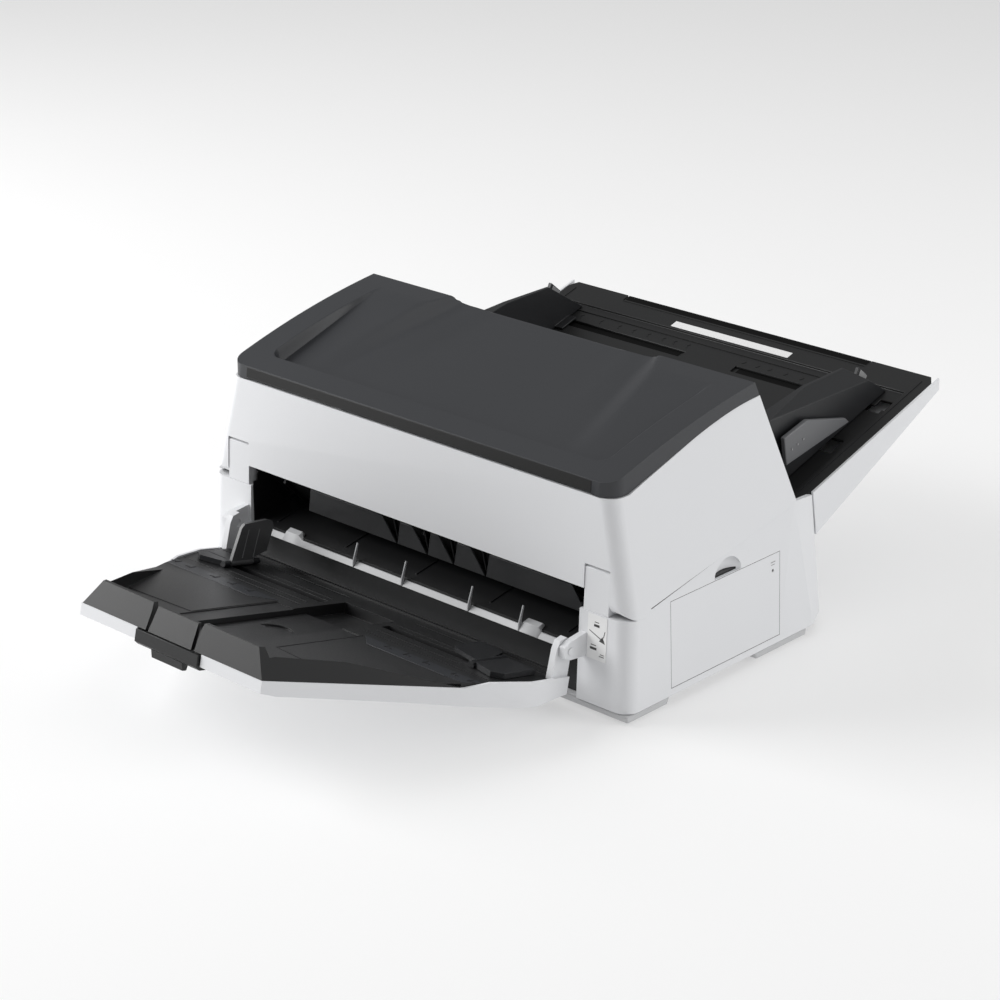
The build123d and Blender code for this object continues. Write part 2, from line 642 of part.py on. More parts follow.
def chute_shell():
    """The white outer chute: two side wedges and a sloping underside."""
    (y0, z0), (y1, z1) = CHUTE_BOTTOM

    def section(y, bottom, bottom_half, inset):
        half, top = 190.8 - inset, chute_z(y) + 0.4
        low_half, low = bottom_half - inset, bottom + inset
        return polygon([(half, y, top), (-half, y, top), (-low_half, y, low), (low_half, y, low)])
    wall, past = 2.2, 0.45
    outer = loft([section(y0, z0, 195.2, 0), section(y1, z1, 190.8, 0)], ruled=True)
    ends = [section(y0 - 1, z0 - past, 195.2, wall), section(y1 + 1, z1 + past, 190.8, wall)]
    inner = loft(ends, ruled=True)
    inner = inner + prism_x(along_chute(y0 - 1, y1 + 1, 5, -4), -188.6, 188.6)
    shell = outer - inner
    return shell & prism_z(mirrored_outline([(200, 230), (200, 396), (186, y1)]), 50, 160)


def chute_extension():
    """The pull-out flap: a thin plate under the tray, with a finger bar along its end."""
    plate = prism_x(along_chute(306, 394, -4.1, -5.9), -EXTENSION_HALF + 1, EXTENSION_HALF - 1)
    bar = prism_x(along_chute(393.2, 400.4, -0.6, -5.9), -EXTENSION_HALF, EXTENSION_HALF)
    grip = prism_x(along_chute(395.4, 398.4, 1, -2.2), -110, 110)
    return plate + bar - grip


def chute_guide(x_inner, x_outer):
    """A side guide: a hollow wedge, high at the mouth and cut down at the rear."""
    foot = 0.5 - CHUTE_RECESS
    mouth, tail = 214, 373
    inner_view = [(mouth, chute_z(mouth) + foot), (tail, chute_z(tail) + foot), (330, 163.7), (279, 162.1),
                  (mouth, 150)]
    body = prism_x(inner_view, min(x_inner, x_outer), max(x_inner, x_outer))
    low, high = (163.0, 152.0)
    roof = prism_y([(x_inner, low + 3), (x_outer, high), (x_outer, 190), (x_inner, 190)], 200, 380)
    body -= roof
    toe_x = sorted((x_inner, x_inner - 45 if x_inner > 0 else x_inner + 8))
    toe = prism_x(along_chute(338, 356, foot + 1.6, foot), *toe_x)
    stem_x = sorted((x_inner, x_outer))
    stem = prism_x(along_chute(GUIDE_SLOT_Y[0] + 0.7, GUIDE_SLOT_Y[1] - 0.7, foot + 1, -3.7),
                   stem_x[0] + 3, stem_x[1] - 3)
    tab = prism_x([(343, 154), (355, 147), (358, 152), (347, 161)], stem_x[0] + 1.5, stem_x[0] + 5)
    return body + toe + stem + tab


def release_lever():
    """The grey squeeze lever on the right guide, a wedge shaped plate."""
    view = [(238, 114.2), (234, 137), (262, 144.1), (311, 132.4), (316, 128.2)]
    lever = prism_x(view, 163.0, 167.0)
    return lever


# Output tray, in its level frame

def tray_outline(inset, z0, z1):
    half = [(x - inset, y + (inset if y < -200 else 0)) for x, y in TRAY_OUTLINE]
    return prism_z(mirrored_outline(half), z0, z1)


def stacker_shell():
    """The white underside and rim, with the hinge ears."""
    outer = tray_outline(0, -40, RIM_REAR_Z)
    under = [(-212, SHELL_UNDER_Z + 2), (-200, SHELL_UNDER_Z), (-120, -35.6), (-40, -38.6), (-20, -38.6),
             (0, -34.4), (10, -33)]
    rim = [(10, RIM_REAR_Z), (-62, RIM_REAR_Z), (-80, RIM_FRONT_Z), (-212, RIM_FRONT_Z)]
    shell = outer & prism_x(under + rim, -180, 180)
    shell -= tray_outline(2.2, -32.6, 0) & block(-180, 180, -220, 6, -60, 0)
    shell -= block(-33, 33, -220, -198, -60, 0)
    ear_foot = RIM_REAR_Z - 6
    ear_view = [(-9, ear_foot), (-8, 0), (-6, 6), (0, 8.5), (6, 6), (8, 0), (8, ear_foot)]
    ear = prism_x(ear_view, 165.6, 170.9)
    ear -= rod_x(PIN_R + RUNNING_FIT, 160, 175, 0, 0)
    return tray_place(shell + pair(ear))


def stacker_tray():
    """The black bed: raised pads, the extension's channel, the guide tracks and the front wall."""
    bed = tray_outline(2.6, -32.0, TRAY_FLOOR) & block(-180, 180, -220, 5.4, -60, 0)
    wall_y, wall_z = FRONT_WALL_TOP
    foot_y = TRAY_FRONT_Y + 0.4
    foot = polygon([(92.4, foot_y, RIM_FRONT_Z), (-92.4, foot_y, RIM_FRONT_Z),
                    (-154, -82, RIM_FRONT_Z), (154, -82, RIM_FRONT_Z)])
    crest = polygon([(80, wall_y, wall_z), (-80, wall_y, wall_z), (-86, -190, wall_z), (86, -190, wall_z)])
    wall = loft([foot, crest], ruled=True)
    floor_cut = prism_x([(wall_y + 3.5, 0), (wall_y + 5, TRAY_FLOOR), (-60, TRAY_FLOOR), (-60, 0)], -180, 180)
    side_keep = pair(prism_z([(82, -215), (88, -196), (148, -76), (160, -76), (100, -215)], -30, 0))
    wall = (wall - floor_cut) + (wall & floor_cut & side_keep)
    bed += wall
    flap_gap = [(-27, 0), (-22.6, RIM_FRONT_Z), (-22.6, -60), (22.6, -60), (22.6, RIM_FRONT_Z), (27, 0)]
    bed -= prism_y(flap_gap, -215, -196)
    bed -= block(-RECESS_HALF, RECESS_HALF, -215, -16.7, -29.6, 0)
    bed -= block(-33, 33, -215, -197, -40, -24.4)
    for x0, x1 in ((32, 158), (-158, -32)):
        bed -= block(x0, x1, *GUIDE_TRACK_Y, -27, 0)
    for y in (-4.0, -56.5):
        bed -= pair(block(33, 164, y, y + 0.9, TRAY_FLOOR - 0.6, 0))
    bed -= pair(block(RECESS_HALF, 42.5, -194, -70, TRAY_FLOOR - 0.7, 0))
    bed -= pair(block(165.3, 171.2, -9.4, 8.4, -27, 0))
    return tray_place(bed)


def stacker_extension():
    """The pull-out middle of the tray, with its end block and the tab that a finger pulls."""
    plate = block(-23.5, 23.5, -205, -58, -28.6, -26.0)
    plate -= Pos(0, -112, -26.0) * Cylinder(14, 3.0) & block(-15, 15, -112, -97, -30, -20)
    end = block(-32, 32, -212, -199, -36, -24.8)
    end -= prism_x([(-213, -36.5), (-208, -36.5), (-213, -33)], -40, 40)
    tab = prism_x([(-210.5, -35), (-204, -35), (-205.5, -41), (-209, -41)], -16, 16)
    return tray_place(plate + end + tab)


STOPPER_PIVOT = (-206.8, -23.2)


def stacker_stopper():
    """The flap that stops the pages, hinged on the extension's end block."""
    y, z = STOPPER_PIVOT
    flap = prism_x([(-209.9, -24.3), (-206.4, -24.3), (-201.6, -6.4), (-204.4, -6.4)], -22.1, 22.1)
    flap = flap & prism_y([(-22.1, -25), (-20.5, -6), (20.5, -6), (22.1, -25)], -215, -195)
    return tray_place(flap + rod_x(1.2, -22.1, 22.1, y, z))


GUIDE_BED_Z = TRAY_FLOOR + 0.3
FIN_X = 128.0
KNUCKLE_R = 2.4


def guide_base():
    """The right paper guide's sliding foot, which holds the fin's hinge."""
    foot = prism_z([(FIN_X + 2.6, -12), (158, -12), (158, -44), (150, -50), (FIN_X + 2.6, -44)],
                   GUIDE_BED_Z, GUIDE_BED_Z + 4)
    stem = block(FIN_X + 8, 150, GUIDE_TRACK_Y[0] + 0.7, GUIDE_TRACK_Y[1] - 0.7, -26, GUIDE_BED_Z + 1)
    holder = Part()
    for y0, y1 in ((-46, -40), (-16, -10)):
        holder += rod_y(KNUCKLE_R, FIN_X, GUIDE_BED_Z + KNUCKLE_R, y0, y1)
        holder += block(FIN_X, FIN_X + 3, y0, y1, GUIDE_BED_Z, GUIDE_BED_Z + 2)
    return foot + stem + holder


def guide_fin():
    """The right paper guide's fin, upright, between the foot's two knuckles."""
    z0 = GUIDE_BED_Z + KNUCKLE_R
    outline = [(-39.4, z0), (-33, z0 + 27), (-30, z0 + 30.5), (-8, z0 + 32.5), (-2, z0 + 31), (0, z0 + 27),
               (-4, z0 + 8), (-16.6, z0 + 3.4), (-16.6, z0)]
    fin = prism_x(outline, FIN_X - 1.5, FIN_X + 1.5)
    return fin + rod_y(KNUCKLE_R, FIN_X, z0, -39.4, -16.6)


def folded(fin):
    """A fin laid down inwards about its hinge, 1.5 degrees short of flat."""
    z = GUIDE_BED_Z + KNUCKLE_R
    return Pos(FIN_X, 0, z) * Rot(0, -88.5, 0) * Pos(-FIN_X, 0, -z) * fin


os.makedirs("parts", exist_ok=True)


def save(name, shape):
    solids = shape.solids()
    whole = solids[0] if len(solids) == 1 else Compound(solids)
    export_step(whole.moved(Location((0, -MIDDLE_Y, 0))), f"parts/{name}.step")


pick, feed, eject = LOWER_ROLLERS
upper_pick, upper_feed, upper_eject = UPPER_ROLLERS
right_cover, right_door = side_cover(), side_door()
nodes = {
    "base_pan": base_pan(),
    "rubber_feet": rubber_feet(),
    "right_cover": right_cover,
    "left_cover": mirrored(right_cover),
    "rear_cover": rear_cover(),
    "housing_screws": housing_screws(),
    "front_columns": front_columns(),
    "inner_frames": inner_frames(),
    "lower_guide": lower_guide(),
    "exit_bar": exit_bar(),
    "lower_glass": lower_glass(),
    "lower_optics": lower_optics(),
    "main_board": main_board(),
    "drive_motor": drive_motor(),
    "drive_belt": drive_belt(),
    "motor_pulley": motor_pulley(),
    "power_inlet": power_inlet(),
    "usb_port": usb_port(),
    "power_switch": power_switch(),
    "operator_panel": operator_panel(),
    "display_window": display_window(),
    "right_door": right_door,
    "left_door": mirrored(right_door),
    "pick_shaft": lower_shaft(PICK_Y),
    "pick_rollers": lower_tyres(*pick),
    "feed_shaft": lower_shaft(FEED_Y),
    "feed_rollers": lower_tyres(*feed),
    "feed_pulley": pulley(*off_deck(FEED_Y, PROUD - ROLLER_R), FEED_PULLEY_R, SHAFT_R),
    "eject_shaft": lower_shaft(EJECT_Y),
    "eject_rollers": lower_tyres(*eject),
    "eject_pulley": pulley(*off_deck(EJECT_Y, PROUD - ROLLER_R), FEED_PULLEY_R, SHAFT_R),
    "upper_cover": upper_cover(),
    "top_cover": top_cover(),
    "fascia": fascia(),
    "hinge_pins": hinge_pins(),
    "upper_guide": upper_guide(),
    "upper_glass": upper_glass(),
    "upper_optics": upper_optics(),
    "brake_rollers": upper_rollers(*upper_pick),
    "upper_feed_rollers": upper_rollers(*upper_feed),
    "upper_eject_rollers": upper_rollers(*upper_eject),
    "chute_tray": chute_tray(),
    "chute_shell": chute_shell(),
    "chute_extension": chute_extension(),
    "left_guide": chute_guide(LEFT_GUIDE_X[1], LEFT_GUIDE_X[0]),
    "right_guide": chute_guide(*RIGHT_GUIDE_X),
    "release_lever": release_lever(),
    "stacker_shell": stacker_shell(),
    "stacker_tray": stacker_tray(),
    "stacker_extension": stacker_extension(),
    "stacker_stopper": stacker_stopper(),
    "left_stacker_guide": tray_place(mirrored(guide_base())),
    "right_stacker_guide": tray_place(guide_base()),
    "left_stacker_fin": tray_place(mirrored(guide_fin())),
    "right_stacker_fin": tray_place(folded(guide_fin())),
}
for button in BUTTONS:
    nodes[button] = panel_button(button)
for node, shape in nodes.items():
    save(node, shape)
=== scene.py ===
import json
import bpy
import bmesh
import numpy as np
from mathutils import Matrix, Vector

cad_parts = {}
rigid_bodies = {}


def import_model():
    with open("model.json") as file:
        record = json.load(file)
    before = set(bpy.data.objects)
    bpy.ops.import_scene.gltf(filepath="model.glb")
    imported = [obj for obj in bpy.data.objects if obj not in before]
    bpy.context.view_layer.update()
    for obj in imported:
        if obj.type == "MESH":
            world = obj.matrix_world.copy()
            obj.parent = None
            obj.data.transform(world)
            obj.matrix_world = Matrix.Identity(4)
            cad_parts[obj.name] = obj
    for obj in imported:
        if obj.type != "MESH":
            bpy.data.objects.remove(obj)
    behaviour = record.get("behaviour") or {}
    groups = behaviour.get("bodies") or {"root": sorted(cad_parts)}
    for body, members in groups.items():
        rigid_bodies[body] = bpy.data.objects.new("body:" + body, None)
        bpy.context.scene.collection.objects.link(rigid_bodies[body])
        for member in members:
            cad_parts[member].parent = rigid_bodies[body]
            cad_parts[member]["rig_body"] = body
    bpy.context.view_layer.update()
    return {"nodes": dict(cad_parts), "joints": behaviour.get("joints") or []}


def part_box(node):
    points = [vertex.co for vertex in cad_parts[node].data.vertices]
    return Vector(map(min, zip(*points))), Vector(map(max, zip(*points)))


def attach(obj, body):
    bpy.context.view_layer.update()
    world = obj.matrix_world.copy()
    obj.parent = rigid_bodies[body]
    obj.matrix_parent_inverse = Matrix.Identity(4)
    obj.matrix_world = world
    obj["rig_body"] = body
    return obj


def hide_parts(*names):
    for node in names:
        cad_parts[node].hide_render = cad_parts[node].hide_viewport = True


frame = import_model()


# White outer covers of the lower housing, in textured grey-white ABS. Each is moulded, then screwed
# to the pan from below. Their outside edges are broken by a small round.

class Signal:
    """A value that varies over a surface; arithmetic on it adds Math nodes."""

    def __init__(self, finish, socket):
        self.finish = finish
        self.socket = socket

    def maths(self, operation, left, right):
        return self.finish.node("ShaderNodeMath", {"operation": operation}, {0: left, 1: right})

    def __add__(self, other):
        return self.maths("ADD", self, other)

    def __sub__(self, other):
        return self.maths("SUBTRACT", self, other)

    def __rsub__(self, other):
        return self.maths("SUBTRACT", other, self)

    def __mul__(self, other):
        return self.maths("MULTIPLY", self, other)

    __radd__, __rmul__ = __add__, __mul__


class Finish:
    """One surface finish: its material and one method that adds any node to it."""

    def __init__(self, name, **uniform):
        self.material = bpy.data.materials.new(name)
        self.material.use_nodes = True
        self.tree = self.material.node_tree
        self.shader = self.tree.nodes["Principled BSDF"]
        for socket, value in uniform.items():
            self.shader.inputs[socket.replace("_", " ")].default_value = value

    def node(self, kind, settings=None, inputs=None, output=0):
        node = self.tree.nodes.new(kind)
        for key, value in (settings or {}).items():
            setattr(node, key, value)
        self.connect(node, inputs or {})
        return Signal(self, node.outputs[output])

    def connect(self, node, inputs):
        for key, value in inputs.items():
            if isinstance(value, Signal):
                self.tree.links.new(value.socket, node.inputs[key])
            else:
                node.inputs[key].default_value = value

    def feed(self, **inputs):
        self.connect(self.shader, {key.replace("_", " "): value for key, value in inputs.items()})

    def place(self, stretch=(1, 1, 1)):
        where = self.node("ShaderNodeTexCoord", output="Object")
        return self.node("ShaderNodeMapping", {}, {"Vector": where, "Scale": stretch})

    def noise(self, scale, detail=2.0, stretch=(1, 1, 1)):
        inputs = {"Vector": self.place(stretch), "Scale": scale, "Detail": detail}
        return self.node("ShaderNodeTexNoise", {}, inputs)

    def mix(self, factor, low, high):
        ends = {0: factor, 6: low, 7: high}
        return self.node("ShaderNodeMix", {"data_type": "RGBA"}, ends, output=2)

    def relief(self, height, depth, strength=1.0):
        inputs = {"Height": height, "Distance": depth, "Strength": strength}
        self.feed(Normal=self.node("ShaderNodeBump", {}, inputs))


def grey(level, blue=0.0):
    """A grey with a share of blue in it, as a colour socket takes it."""
    return (level * (1 - blue), level * (1 - 0.4 * blue), level * (1 + blue), 1.0)


def moulded(name, level, blue, roughness, grain=1100, relief=0.00003, drift=0.05, **uniform):
    """Moulded plastic. Colour = level x (1 +- drift x slow noise), with a fine speckle a third as strong;
    gloss = roughness +- a tenth of both noises; the spark-eroded grain is the fine noise, as bump."""
    finish = Finish(name, **uniform)
    slow = finish.noise(6.0, 3.0)
    fine = finish.noise(grain, 1.0)
    shade = 0.75 * slow + 0.25 * fine
    low, high = grey(level * (1 - drift), blue), grey(level * (1 + drift), blue)
    finish.feed(Base_Color=finish.mix(shade, low, high))
    finish.feed(Roughness=roughness + 0.10 * (slow - 0.5) + 0.10 * (fine - 0.5))
    finish.relief(fine, relief)
    return finish


def dress(finish, *nodes):
    """Gives CAD nodes that stay as they are their finish."""
    for node in nodes:
        part = frame["nodes"][node]
        if not part.material_slots:
            part.data.materials.append(None)
        for held in part.material_slots:
            held.material = finish.material


def hand_over(piece, finish, body, replaced=()):
    """The piece gets its finish, its flats and curves are told apart, and it rides on its body."""
    piece.data.materials.clear()
    piece.data.materials.append(finish.material)
    piece.data.polygons.foreach_set("use_smooth", np.ones(len(piece.data.polygons), bool))
    piece.data.set_sharp_from_angle(angle=np.radians(32))
    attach(piece, body)
    if replaced:
        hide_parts(*replaced)
    return piece


def break_edges(piece, width, segments=2, angle=34):
    """Every edge sharper than the angle, in degrees, is rounded over that width."""
    edges = piece.modifiers.new("broken edges", "BEVEL")
    edges.width = width
    edges.segments = segments
    edges.limit_method = "ANGLE"
    edges.angle_limit = np.radians(angle)
    edges.use_clamp_overlap = True
    edges.harden_normals = False


def eased(node, width, finish):
    """A copy of a CAD node, doubles merged and flats joined, with every sharp edge broken to that width."""
    mesh = frame["nodes"][node].data.copy()
    work = bmesh.new()
    work.from_mesh(mesh)
    bmesh.ops.remove_doubles(work, verts=work.verts, dist=2e-6)
    bmesh.ops.dissolve_limit(work, angle_limit=np.radians(0.4), verts=work.verts, edges=work.edges)
    work.to_mesh(mesh)
    work.free()
    for attribute in [a.name for a in mesh.attributes if a.name == "custom_normal"]:
        mesh.attributes.remove(mesh.attributes[attribute])
    piece = bpy.data.objects.new(node + "_moulding", mesh)
    bpy.context.scene.collection.objects.link(piece)
    hand_over(piece, finish, frame["nodes"][node]["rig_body"], [node])
    break_edges(piece, width)
    return piece


white = moulded("white_cover_plastic", 0.74, 0.016, 0.50, relief=0.00002, drift=0.012)
for cover in ("right_cover", "left_cover", "rear_cover", "front_columns"):
    eased(cover, 0.0005, white)


# Bottom pan: a light grey floor with four skirt blocks, moulded in one in ABS. The rubber feet are moulded
# apart and pressed into its underside.
pan_plastic = moulded("pan_plastic", 0.52, 0.012, 0.55, grain=900, drift=0.02)
eased("base_pan", 0.0012, pan_plastic)
rubber = moulded("foot_rubber", 0.028, 0.0, 0.75, grain=700, relief=0.00008, drift=0.15)
dress(rubber, "rubber_feet")


# Pan head screws in the rear cover, zinc plated, with a driver slot. The same plated steel makes the
# side plates, shafts, hinge pins and the data socket's shell.
def brushed(name, level, along, roughness):
    """Plated steel, drawn along one axis: colour and gloss follow a noise stretched along that axis."""
    finish = Finish(name, Metallic=1.0)
    stretch = tuple(0.03 if axis == along else 1.0 for axis in range(3))
    streak = finish.noise(900, 2.0, stretch)
    finish.feed(Base_Color=finish.mix(streak, grey(level * 0.86, 0.01), grey(level, 0.01)))
    finish.feed(Roughness=roughness + 0.15 * (streak - 0.5))
    finish.relief(streak, 0.00001)
    return finish


steel = brushed("plated_steel", 0.66, 0, 0.30)
dress(steel, "housing_screws", "pick_shaft", "feed_shaft", "eject_shaft", "hinge_pins", "usb_port")
dress(brushed("side_plate_steel", 0.60, 1, 0.38), "inner_frames")


# Lower paper guide, the black moulding that the sheets slide over, with the apron in front of it. It is
# glass-filled polycarbonate, screwed down between the steel side plates.
black = moulded("black_guide_plastic", 0.0075, 0.05, 0.46, grain=800, relief=0.00004, drift=0.15,
                 Specular_IOR_Level=0.40)
eased("lower_guide", 0.0004, black)


# Grey exit bar, moulded in light grey ABS and snapped to the guide's front edge in lengths between thin
# upright ribs. The ribs keep the tail of a sheet off the bar, and lean back a little.
TRAY_HINGE = next(joint for joint in frame["joints"] if joint["name"] == "stacker_fold")["pos_m"]
FRONT = 1000 * TRAY_HINGE[1] + 15.0       # where the housing's front foot stands, in millimetres


def row(points):
    """Millimetres measured from the front foot become metres in the frame."""
    return (np.asarray(points, float) + (0, FRONT, 0)) * 0.001


def rings(sections, ladder=False):
    """A closed skin over a (rings, around, 3) array of loops: neighbours are joined by quads. The ends are
    one face each, or with ladder a row of quads between the loop's first and second half."""
    count, around = sections.shape[:2]
    index = np.arange(count * around).reshape(count, around)
    ahead = np.roll(index, -1, axis=1)
    faces = np.stack([index[:-1], ahead[:-1], ahead[1:], index[1:]], axis=-1).reshape(-1, 4).tolist()
    if not ladder:
        return sections.reshape(-1, 3), faces + [index[0][::-1].tolist(), index[-1].tolist()]
    for loop, turn in ((index[0], -1), (index[-1], 1)):
        near, far = loop[:around // 2], loop[::-1][:around // 2]
        rungs = np.stack([near[:-1], near[1:], far[1:], far[:-1]], axis=-1)[:, ::turn]
        faces += rungs.tolist()
    return sections.reshape(-1, 3), faces


def prism(outline, axis, start, end):
    """An outline in the other two axes, carried along one axis from start to end."""
    outline = np.asarray(outline, float)
    ends = [np.insert(outline, axis, level, axis=1) for level in (start, end)]
    return rings(np.stack(ends))


def make(name, solids, finish, body, replaced=(), place=row, edge=0.0, segments=2, angle=34):
    """Joins solids into one piece, turned outwards and put in the frame, and breaks its edges."""
    points, faces, count = [], [], 0
    for solid_points, solid_faces in solids:
        points.append(place(solid_points))
        faces += [[corner + count for corner in face] for face in solid_faces]
        count += len(solid_points)
    mesh = bpy.data.meshes.new(name)
    mesh.from_pydata(np.concatenate(points).tolist(), [], faces)
    work = bmesh.new()
    work.from_mesh(mesh)
    bmesh.ops.recalc_face_normals(work, faces=work.faces)
    work.to_mesh(mesh)
    work.free()
    piece = bpy.data.objects.new(name, mesh)
    bpy.context.scene.collection.objects.link(piece)
    hand_over(piece, finish, body, replaced)
    if edge:
        break_edges(piece, edge, segments, angle)
    return piece


bar_grey = moulded("exit_bar_plastic", 0.42, 0.015, 0.42, drift=0.03)
RIBS = (-54.5, -3.5, 64.0)
low_side = [(-0.3, 41.9), (3.6, 45.6), (4.2, 45.6), (4.6, 44.5), (4.6, 41.9)]
high_side = [(-0.3, 41.9), (3.0, 48.8), (7.6, 50.6), (9.6, 48.8), (9.6, 41.9)]


def bar_length(places, sides):
    """A bar along x whose side view changes from one of the given places to the next."""
    return rings(np.stack([np.insert(np.array(side, float), 0, x, axis=1) for x, side in zip(places, sides)]))


stepped = [low_side, low_side, high_side, high_side, low_side, low_side]
bars = [bar_length((-165, -132.5, -130.5, -117, -112.5, RIBS[0] - 0.7), stepped),
        bar_length((RIBS[0] + 0.7, RIBS[1] - 0.7), [low_side] * 2),
        bar_length((RIBS[1] + 0.7, RIBS[2] - 0.7), [low_side] * 2),
        bar_length((RIBS[2] + 0.7, 112.5, 117, 130.5, 132.5, 165), stepped)]
make("exit_bar_lengths", bars, bar_grey, "housing", ["exit_bar"], edge=0.0003)
# The ribs are black plastic. They take the bar's light grey as a painted highlight on their edges.
rib_side = [(-0.3, 41.9), (0.3, 47.5), (5.0, 60.2), (6.2, 59.6), (3.4, 49.5), (2.6, 41.9)]
make("exit_ribs_painted_highlight", [prism(rib_side, 0, x - 0.55, x + 0.55) for x in (*RIBS, 113.6)],
     bar_grey, "housing", edge=0.0002)


# Black liners at both ends of the exit, thin moulded plates clipped to the columns' inner sides. Their
# front upper corners are cut away where the upper unit's front edge swings past.
liner = [(4.6, 44), (42, 50), (42, 91), (14, 91), (9, 84), (8, 79), (4.6, 79)]
make("exit_liners", [prism(liner, 0, *ends) for ends in ((-168.9, -168.1), (168.1, 168.9))], black, "housing")


# Printed label on the right column, a thin plastic film: a plain drawing of a sheet, an arrow and two
# size bars, in dark grey ink.
COVER_FOOT, COLUMN_LEAN = 7.8, 0.0385
INK_LOW, INK_HIGH = 0.25, 0.36
label_film = moulded("label_film", 0.82, 0.0, 0.30, relief=0.00001, drift=0.01)
ink = moulded("dark_ink", 0.05, 0.0, 0.45, relief=0.00001, drift=0.1)


def on_column(x, z, lift):
    """Points of the right column's front, which leans back by a fixed share of the height above its foot,
    lifted off it by a distance."""
    x, z = np.broadcast_arrays(np.asarray(x, float), np.asarray(z, float))
    return np.stack([x, COLUMN_LEAN * (z - COVER_FOOT) - lift, z], axis=-1)


def printed(corners, low=0.02, high=0.3):
    """A flat mark through (x, z) corners on the column, between two heights above it."""
    corners = np.asarray(corners, float)
    return rings(np.stack([on_column(corners[:, 0], corners[:, 1], lift) for lift in (low, high)]))


def bar_mark(x0, x1, z0, z1):
    return printed([(x0, z0), (x1, z0), (x1, z1), (x0, z1)], INK_LOW, INK_HIGH)


make("column_label", [printed([(177.4, 42), (194.6, 42), (194.6, 75.0), (177.4, 75.0)])],
     label_film, "housing")
marks = [bar_mark(183, 188, 66.5, 68.3), bar_mark(183.6, 187.4, 69.6, 70.2), bar_mark(180, 186, 49, 50.8),
         bar_mark(180.6, 185.4, 52.2, 52.8), bar_mark(188.5, 193, 45.2, 45.8),
         bar_mark(189.5, 193, 46.8, 47.3)]
marks += [printed([(179, 62.4), (191.5, 57.3), (191.5, 58.1), (179, 63)], INK_LOW, INK_HIGH),
          printed([(188, 56.6), (193.5, 55.6), (191, 60.6)], INK_LOW, INK_HIGH),
          printed([(191.6, 60), (192.2, 60), (193.4, 65), (192.8, 65)], INK_LOW, INK_HIGH)]
make("column_label_print", marks, ink, "housing")


# Side doors: plain covers let into the sides, with a small light pipe at the rear top corner of the
# right one, under two plain dashes.
for door in ("right_door", "left_door"):
    eased(door, 0.0004, white)
angles = np.arange(16) * np.pi / 8


def disc(y, z, radius, x0, x1):
    """A short round pin along x."""
    return prism(np.stack([y + radius * np.cos(angles), z + radius * np.sin(angles)], axis=1), 0, x0, x1)


HALF_WIDTH, SIDE_LEAN = 216.0, 0.044
PIPE_Z = 66.0


def side_x(z, depth=0.0):
    """The side's face, which leans in by a fixed share of the height above its foot, less a depth."""
    return HALF_WIDTH - SIDE_LEAN * (z - COVER_FOOT) - depth


pipe = moulded("light_pipe", 0.06, 0.0, 0.15, relief=0.00001)
door_face = side_x(PIPE_Z)
make("door_light", [disc(164, PIPE_Z, 1.15, door_face - 3.4, door_face - 0.7)], pipe, "right_door")
faint_ink = moulded("faint_ink", 0.30, 0.0, 0.45, relief=0.00001)
dashes = [prism([(y0, z), (y1, z), (y1, z + 0.5), (y0, z + 0.5)], 0, door_face - 0.5, door_face - 0.04)
          for y0, y1, z in ((161.5, 166.5, 72.4), (162, 166, 70.4))]
make("door_dashes", dashes, faint_ink, "right_door")


# Dark strips of painted shade in the joints: a thin one in the sloping joint between the lower housing
# and the upper unit, and a frame in the joint round each door.
seam_shade = moulded("seam_painted_shade", 0.02, 0.0, 0.8, grain=1500, relief=0.00004, drift=0.2)


def shade_strip(side, ends, height, depth=0.02, thick=5.0):
    """A strip in the side's face from one (y, z) end to the other, with the given height in z."""
    sections = [[(side * side_x(z + lift, reach), y, z + lift) for lift, reach in
                 ((0, thick), (0, depth), (height, depth), (height, thick))] for y, z in ends]
    return rings(np.array(sections, float))


make("joint_shade_strips", [shade_strip(side, ((27.5, 79.82), (189, 111.35)), 1.25, -0.04) for side in (-1, 1)],
     seam_shade, "housing")
door_edges = (((48.02, 13.0), (172.38, 13.0), 0.36), ((48.02, 78.62), (172.38, 78.62), 0.36),
              ((48.02, 13.0), (48.36, 13.0), 66.0), ((172.04, 13.0), (172.38, 13.0), 66.0))
make("door_shade_strips", [shade_strip(side, edge[:2], edge[2], 0.1, 2.2) for side in (-1, 1) for edge in door_edges], seam_shade,
     "housing")


# Operator panel behind the right door: a dark tray with a display under a clear window and three
# buttons, each with a raised generic sign.
dark = moulded("dark_textured_plastic", 0.03, 0.02, 0.5, grain=900)
dress(dark, "operator_panel", "power_inlet", "power_switch", "power_button", "scan_button", "menu_button")


def clear(name, level, roughness):
    """Clear glass with a faint film of dust: gloss varies with a slow noise."""
    finish = Finish(name, Transmission_Weight=0.9, IOR=1.5)
    dust = finish.noise(25, 4.0)
    finish.feed(Base_Color=finish.mix(dust, grey(level, 0.02), grey(level * 0.94, 0.02)))
    finish.feed(Roughness=roughness + 0.05 * dust)
    return finish


display = Finish("display_glass")
lines = display.node("ShaderNodeTexBrick", {}, {"Vector": display.place(), "Scale": 260.0})
display.feed(Base_Color=display.mix(display.noise(40), grey(0.05, 0.1), grey(0.07, 0.2)),
             Roughness=0.08 + 0.05 * lines)
dress(display, "display_window")
panel_boxes = {name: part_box(name) for name in ("power_button", "scan_button", "menu_button")}
for name, (low, high) in panel_boxes.items():
    y, z = (low[1] + high[1]) * 500 - FRONT, (low[2] + high[2]) * 500
    face = high[0] * 1000
    ring = [disc(y, z, 4.6, face - 0.05, face + 0.25)]
    make(name + "_cap", ring, bar_grey, name, edge=0.0001)


# Clear glasses glued over the two image sensors. The sensors' closed cases and the motor's are pressed
# steel with black paint.
dress(clear("sensor_glass", 0.92, 0.03), "lower_glass", "upper_glass")
case_paint = moulded("case_paint", 0.02, 0.0, 0.55, grain=600, relief=0.00005)
dress(case_paint, "lower_optics", "upper_optics", "drive_motor")


